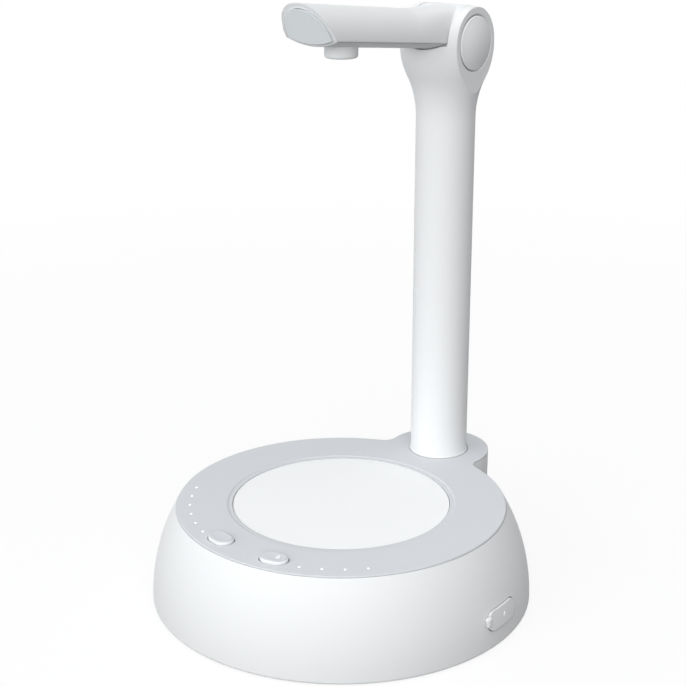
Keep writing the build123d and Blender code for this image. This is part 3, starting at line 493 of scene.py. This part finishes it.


# The raised drop is drawn white and faintly glowing to stand for the bright streak on the button: a painted
# highlight on a real icon
def makeDropMark(size):
    floor = button["top"] - button["dish"] - size["raise"]
    high = button["top"] - button["dish"] * size["deckShare"] + size["raise"]
    outer = dropOutline(size["radius"], size["tip"], size["steps"])
    innerR = size["radius"] - size["wall"]
    inner = dropOutline(innerR, size["tip"] * innerR / size["radius"], size["steps"])
    rings = []
    for outline, height in ((inner, floor), (outer, floor), (outer, high), (inner, high)):
        rings.append([((x + size["aside"]) * mm, y * mm, height * mm) for x, y in outline])
    made = bmesh.new()
    joinLoops(made, rings)
    made.transform(panelPlace(button["startAngle"], button["ringR"]))
    keepPiece(made, "startDropMark", "light_guide", "start_button", (), size["sharp"])


makeDropMark(dropMark)


# The raised bolt takes the glowing lens finish though the cover has no lamp behind it: a painted glow on a
# real icon
def makeBoltMark(size):
    halfW = size["width"] / 2
    halfH = size["height"] / 2
    low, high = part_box("port_cover")
    spotY = (low.y + high.y) / 2 + size["aside"] * mm
    spotZ = (low.z + high.z) / 2
    faceX = coverFaceX(size["rayX"], spotY, spotZ)
    rings = []
    for lift in (-size["sink"], size["raise"]):
        rings.append([(faceX + lift * mm, spotY + x * halfW * mm, spotZ + z * halfH * mm)
                      for x, z in size["outline"]])
    made = bmesh.new()
    skinRings(made, rings)
    keepPiece(made, "chargeBoltMark", "light_guide", "port_cover", (), size["sharp"])


# Where the charging cover's face lies at one place, read from the solid itself
def coverFaceX(rayX, spotY, spotZ):
    start = Vector((rayX, spotY, spotZ))
    hit, place, normal, index = nodes["port_cover"].ray_cast(start, Vector((-1.0, 0.0, 0.0)))
    return place.x


makeBoltMark(boltMark)
print("marks done")


# Node tree: copies of one piece set out on an arc, seen from the front and counted to the right
def arcRowTree():
    tree = bpy.data.node_groups.new("arcRow", "GeometryNodeTree")
    for name, kind in (("Piece", "NodeSocketObject"), ("Count", "NodeSocketInt"), ("Sides", "NodeSocketInt"),
                       ("Ring Radius", "NodeSocketFloat"), ("First Angle", "NodeSocketFloat"),
                       ("Step Angle", "NodeSocketFloat"), ("Height", "NodeSocketFloat"),
                       ("Finish", "NodeSocketMaterial")):
        tree.interface.new_socket(name=name, in_out="INPUT", socket_type=kind)
    tree.interface.new_socket(name="Geometry", in_out="OUTPUT", socket_type="NodeSocketGeometry")
    graph = Graph(tree)
    given = tree.nodes.new("NodeGroupInput")
    value = {socket.name: Wire(graph, socket) for socket in given.outputs if socket.name}
    index = graph.node("GeometryNodeInputIndex")
    place = (index / value["Sides"]).floor()
    side = 1.0 - (index % value["Sides"]) * 2.0
    angle = (value["First Angle"] + value["Step Angle"] * place) * side
    across = angle.sine() * value["Ring Radius"]
    back = -(angle.cosine() * value["Ring Radius"])
    spot = graph.node("ShaderNodeCombineXYZ", {}, {0: across, 1: back, 2: value["Height"]})
    turn = graph.node("ShaderNodeCombineXYZ", {}, {2: angle})
    points = graph.node("GeometryNodePoints", {}, {"Count": value["Count"] * value["Sides"], "Position": spot})
    shape = graph.node("GeometryNodeObjectInfo", {}, {"Object": value["Piece"]}, out="Geometry")
    copies = graph.node("GeometryNodeInstanceOnPoints", {},
                        {"Points": points, "Instance": shape, "Rotation": turn})
    whole = graph.node("GeometryNodeRealizeInstances", {}, {"Geometry": copies})
    dressed = graph.node("GeometryNodeSetMaterial", {}, {"Geometry": whole, "Material": value["Finish"]})
    end = tree.nodes.new("NodeGroupOutput")
    tree.links.new(dressed.socket, end.inputs[0])
    return tree


arcRow = arcRowTree()


def makeRow(made, row, name, slot, node, sharp):
    source = bpy.data.objects.new(name + "Source", bpy.data.meshes.new(name + "Source"))
    bmesh.ops.recalc_face_normals(made, faces=made.faces)
    made.to_mesh(source.data)
    made.free()
    bpy.context.scene.collection.objects.link(source)
    holder = bpy.data.objects.new(name + "Row", bpy.data.meshes.new(name + "Row"))
    bpy.context.scene.collection.objects.link(holder)
    modifier = holder.modifiers.new("arcRow", "NODES")
    modifier.node_group = arcRow
    wanted = {"Piece": source, "Count": row["count"], "Sides": row.get("sides", 1),
              "Ring Radius": row["ringR"] * mm, "First Angle": math.radians(row["first"]),
              "Step Angle": math.radians(row["step"]), "Height": row["height"] * mm, "Finish": finishes[slot]}
    for item in arcRow.interface.items_tree:
        if item.in_out == "INPUT":
            modifier[item.identifier] = wanted[item.name]
    graphNow = bpy.context.evaluated_depsgraph_get()
    mesh = bpy.data.meshes.new_from_object(holder.evaluated_get(graphNow))
    holder.modifiers.remove(modifier)
    for spare in (holder, source):
        bpy.data.objects.remove(spare)
    mesh.name = name
    mesh.transform(toBase)
    keepMesh(mesh, name, slot, "base", [node], sharp)


# Domed light lenses, six for the amount and four for the charge
lens = {"radius": 0.6, "rise": 0.35, "depth": 2.0, "shares": (0.0, 0.35, 0.65, 0.88, 1.0), "steps": 28,
        "sharp": 60.0}
amountRow = {"count": 6, "first": -23.8, "step": -8.05, "ringR": 56.0, "height": 35.8}
chargeRow = {"count": 4, "first": 22.9, "step": 8.05, "ringR": 56.0, "height": 35.8}


def lensShape(size):
    profile = []
    for share in size["shares"]:
        profile.append((size["radius"] * share, size["rise"] * (1 - share**2)))
    profile += [(size["radius"], -size["depth"]), (0.0, -size["depth"])]
    return lathe(profile, size["steps"])


makeRow(lensShape(lens), amountRow, "amountLenses", "light_guide", "amount_light_guides", lens["sharp"])
makeRow(lensShape(lens), chargeRow, "chargeLenses", "light_guide", "charge_light_guides", lens["sharp"])
print("light lenses done")


# Foot pads with ring grooves on the underside
footPad = {"radius": 7.0, "height": 1.5, "edge": 0.4, "groove": 0.35, "grooveWidth": 0.5,
           "grooves": (2.2, 3.7, 5.2), "floorShare": 0.5, "steps": 72, "sharp": 25.0}
footRow = {"count": 4, "first": 0.0, "step": 90.0, "ringR": 52.0, "height": 0.0}


def footShape(size):
    profile = [(0.0, 0.0)]
    for radius in size["grooves"]:
        half = size["grooveWidth"] / 2
        flat = half * size["floorShare"]
        profile += [(radius - half, 0.0), (radius - flat, size["groove"])]
        profile += [(radius + flat, size["groove"]), (radius + half, 0.0)]
    profile += [(size["radius"] - size["edge"], 0.0), (size["radius"], size["edge"])]
    profile += [(size["radius"], size["height"]), (0.0, size["height"])]
    return lathe(profile, size["steps"])


makeRow(footShape(footPad), footRow, "footPads", "foot_rubber", "foot_pads", footPad["sharp"])


# Cross-recess screws under the base, heads down
screw = {"headR": 2.2, "headT": 1.2, "edge": 0.35, "shankR": 1.1, "length": 9.0, "crossL": 1.25,
         "crossW": 0.32, "crossDepth": 0.7, "tipShare": 0.6, "tipWidthShare": 0.7, "leastSine": 0.01,
         "steps": 48, "sharp": 30.0}
screwRow = {"count": 2, "sides": 2, "first": 25.0, "step": 105.0, "ringR": 62.0, "height": 1.0}


def crossRing(length, width, height, leastSine, steps):
    ring = []
    for step in range(steps):
        turn = math.tau * (step + halfStep) / steps
        swing = (turn + math.pi / 4) % (math.pi / 2) - math.pi / 4
        reach = min(length / math.cos(swing), width / max(abs(math.sin(swing)), leastSine))
        ring.append((reach * math.cos(turn) * mm, reach * math.sin(turn) * mm, height * mm))
    return ring


def roundRing(radius, height, steps):
    turns = [math.tau * (step + halfStep) / steps for step in range(steps)]
    return [(radius * math.cos(turn) * mm, radius * math.sin(turn) * mm, height * mm) for turn in turns]


def screwShape(size):
    steps = size["steps"]
    tipL = size["crossL"] * size["tipShare"]
    tipW = size["crossW"] * size["tipWidthShare"]
    rings = [[(0.0, 0.0, size["crossDepth"] * mm)],
             crossRing(tipL, tipW, size["crossDepth"], size["leastSine"], steps),
             crossRing(size["crossL"], size["crossW"], 0.0, size["leastSine"], steps),
             roundRing(size["headR"] - size["edge"], 0.0, steps),
             roundRing(size["headR"], size["edge"], steps),
             roundRing(size["headR"], size["headT"], steps),
             roundRing(size["shankR"], size["headT"], steps),
             roundRing(size["shankR"], size["headT"] + size["length"], steps),
             [(0.0, 0.0, (size["headT"] + size["length"]) * mm)]]
    made = bmesh.new()
    skinRings(made, rings)
    return made


makeRow(screwShape(screw), screwRow, "bottomScrews", "steel", "bottom_screws", screw["sharp"])
print("feet and screws done")


# One for the rays that the eye follows, also by gloss or through glass, and zero for other light
def eyeRays(graph):
    path = graph.tree.nodes.new("ShaderNodeLightPath")
    names = ("Is Camera Ray", "Is Glossy Ray", "Is Transmission Ray")
    direct, glossy, through = [Wire(graph, path.outputs[name]) for name in names]
    return direct.atLeast(glossy).atLeast(through)


# Pale floor that goes white to the eye and still takes the shadow
stage = {"size": 8.0, "paperSeen": (0.97, 0.97, 0.97), "paperBounce": (0.15, 0.15, 0.15),
         "whiteNear": 0.84, "nearReach": 0.12, "farReach": 0.7}


def makeFloor(size):
    half = size["size"] / 2
    mesh = bpy.data.meshes.new("studioFloor")
    corners = [(-half, -half, 0.0), (half, -half, 0.0), (half, half, 0.0), (-half, half, 0.0)]
    mesh.from_pydata(corners, [], [(0, 1, 2, 3)])
    finish = Finish("studioFloor")
    eye = eyeRays(finish)
    tone = finish.mixColour(eye, opaque(size["paperBounce"]), opaque(size["paperSeen"]))
    paper = finish.node("ShaderNodeBsdfDiffuse", {}, {"Color": tone})
    glow = finish.node("ShaderNodeEmission", {}, {"Color": white, "Strength": 1.0})
    away = finish.node("ShaderNodeVectorMath", {"operation": "LENGTH"}, {0: finish.spot()}, out="Value")
    far = ((away - size["nearReach"]) / (size["farReach"] - size["nearReach"])).atLeast(0.0).atMost(1.0)
    share = size["whiteNear"] + far * (1 - size["whiteNear"])
    finish.close(finish.node("ShaderNodeMixShader", {}, {0: eye * share, 1: paper, 2: glow}))
    mesh.materials.append(finish.material)
    floor = bpy.data.objects.new("studioFloor", mesh)
    bpy.context.scene.collection.objects.link(floor)


makeFloor(stage)

# White surroundings to the eye, softer light that fades towards the back
surround = {"light": (0.955, 0.98, 1.0), "strength": 0.49, "lean": 0.43, "bright": (-0.45, -0.89, 0.0)}


def makeWorld(size):
    world = bpy.data.worlds.new("studioWorld")
    world.use_nodes = True
    graph = Graph(world.node_tree)
    world.node_tree.nodes.clear()
    eye = eyeRays(graph)
    look = graph.node("ShaderNodeTexCoord", out="Generated")
    facing = graph.node("ShaderNodeVectorMath", {"operation": "DOT_PRODUCT"}, {0: look, 1: size["bright"]},
                        out="Value")
    soft = graph.node("ShaderNodeBackground", {}, {"Color": opaque(size["light"]),
                                                   "Strength": size["strength"] + facing * size["lean"]})
    plain = graph.node("ShaderNodeBackground", {}, {"Color": white, "Strength": 1.0})
    both = graph.node("ShaderNodeMixShader", {}, {0: eye, 1: soft, 2: plain})
    out = world.node_tree.nodes.new("ShaderNodeOutputWorld")
    world.node_tree.links.new(both.socket, out.inputs["Surface"])
    bpy.context.scene.world = world


makeWorld(surround)

# Soft boxes: a key from the front, weaker ones at both sides and a little from above
softBoxes = {
    "keyBox": {"place": (-0.3, -1.36, 0.4), "size": 1.1, "power": 6.8},
    "rightBox": {"place": (0.95, -0.99, 0.62), "size": 0.8, "power": 8.0},
    "leftBox": {"place": (-1.33, -0.24, 0.7), "size": 0.8, "power": 0.8},
    "topBox": {"place": (0.2, 0.1, 1.4), "size": 0.9, "power": 5.4},
}
aim = Vector((0.0, 0.0, 0.09))


def makeSoftBox(name, size):
    light = bpy.data.lights.new(name, "AREA")
    light.shape = "SQUARE"
    light.size = size["size"]
    light.energy = size["power"]
    lamp = bpy.data.objects.new(name, light)
    lamp.location = Vector(size["place"])
    lamp.rotation_euler = (aim - lamp.location).to_track_quat("-Z", "Y").to_euler()
    bpy.context.scene.collection.objects.link(lamp)


for name, size in softBoxes.items():
    makeSoftBox(name, size)

# Camera at the viewing angle of the picture
eyeView = {"place": (0.3116, -0.41507, 0.26951), "forward": (-0.5779, 0.7509, -0.3197),
           "up": (-0.195, 0.2534, 0.9475), "lens": 78.72, "sensor": 36.0, "near": 0.01}


def makeCamera(size):
    shot = bpy.data.cameras.new("eyeView")
    shot.sensor_fit = "HORIZONTAL"
    shot.sensor_width = size["sensor"]
    shot.lens = size["lens"]
    shot.clip_start = size["near"]
    camera = bpy.data.objects.new("eyeView", shot)
    back = -Vector(size["forward"]).normalized()
    right = Vector(size["up"]).cross(back).normalized()
    up = back.cross(right)
    turn = Matrix((right, up, back)).transposed().to_4x4()
    camera.matrix_world = Matrix.Translation(Vector(size["place"])) @ turn
    bpy.context.scene.collection.objects.link(camera)
    bpy.context.scene.camera = camera


makeCamera(eyeView)
bpy.context.scene.view_settings.view_transform = "Standard"
print("stage, lights and camera done")
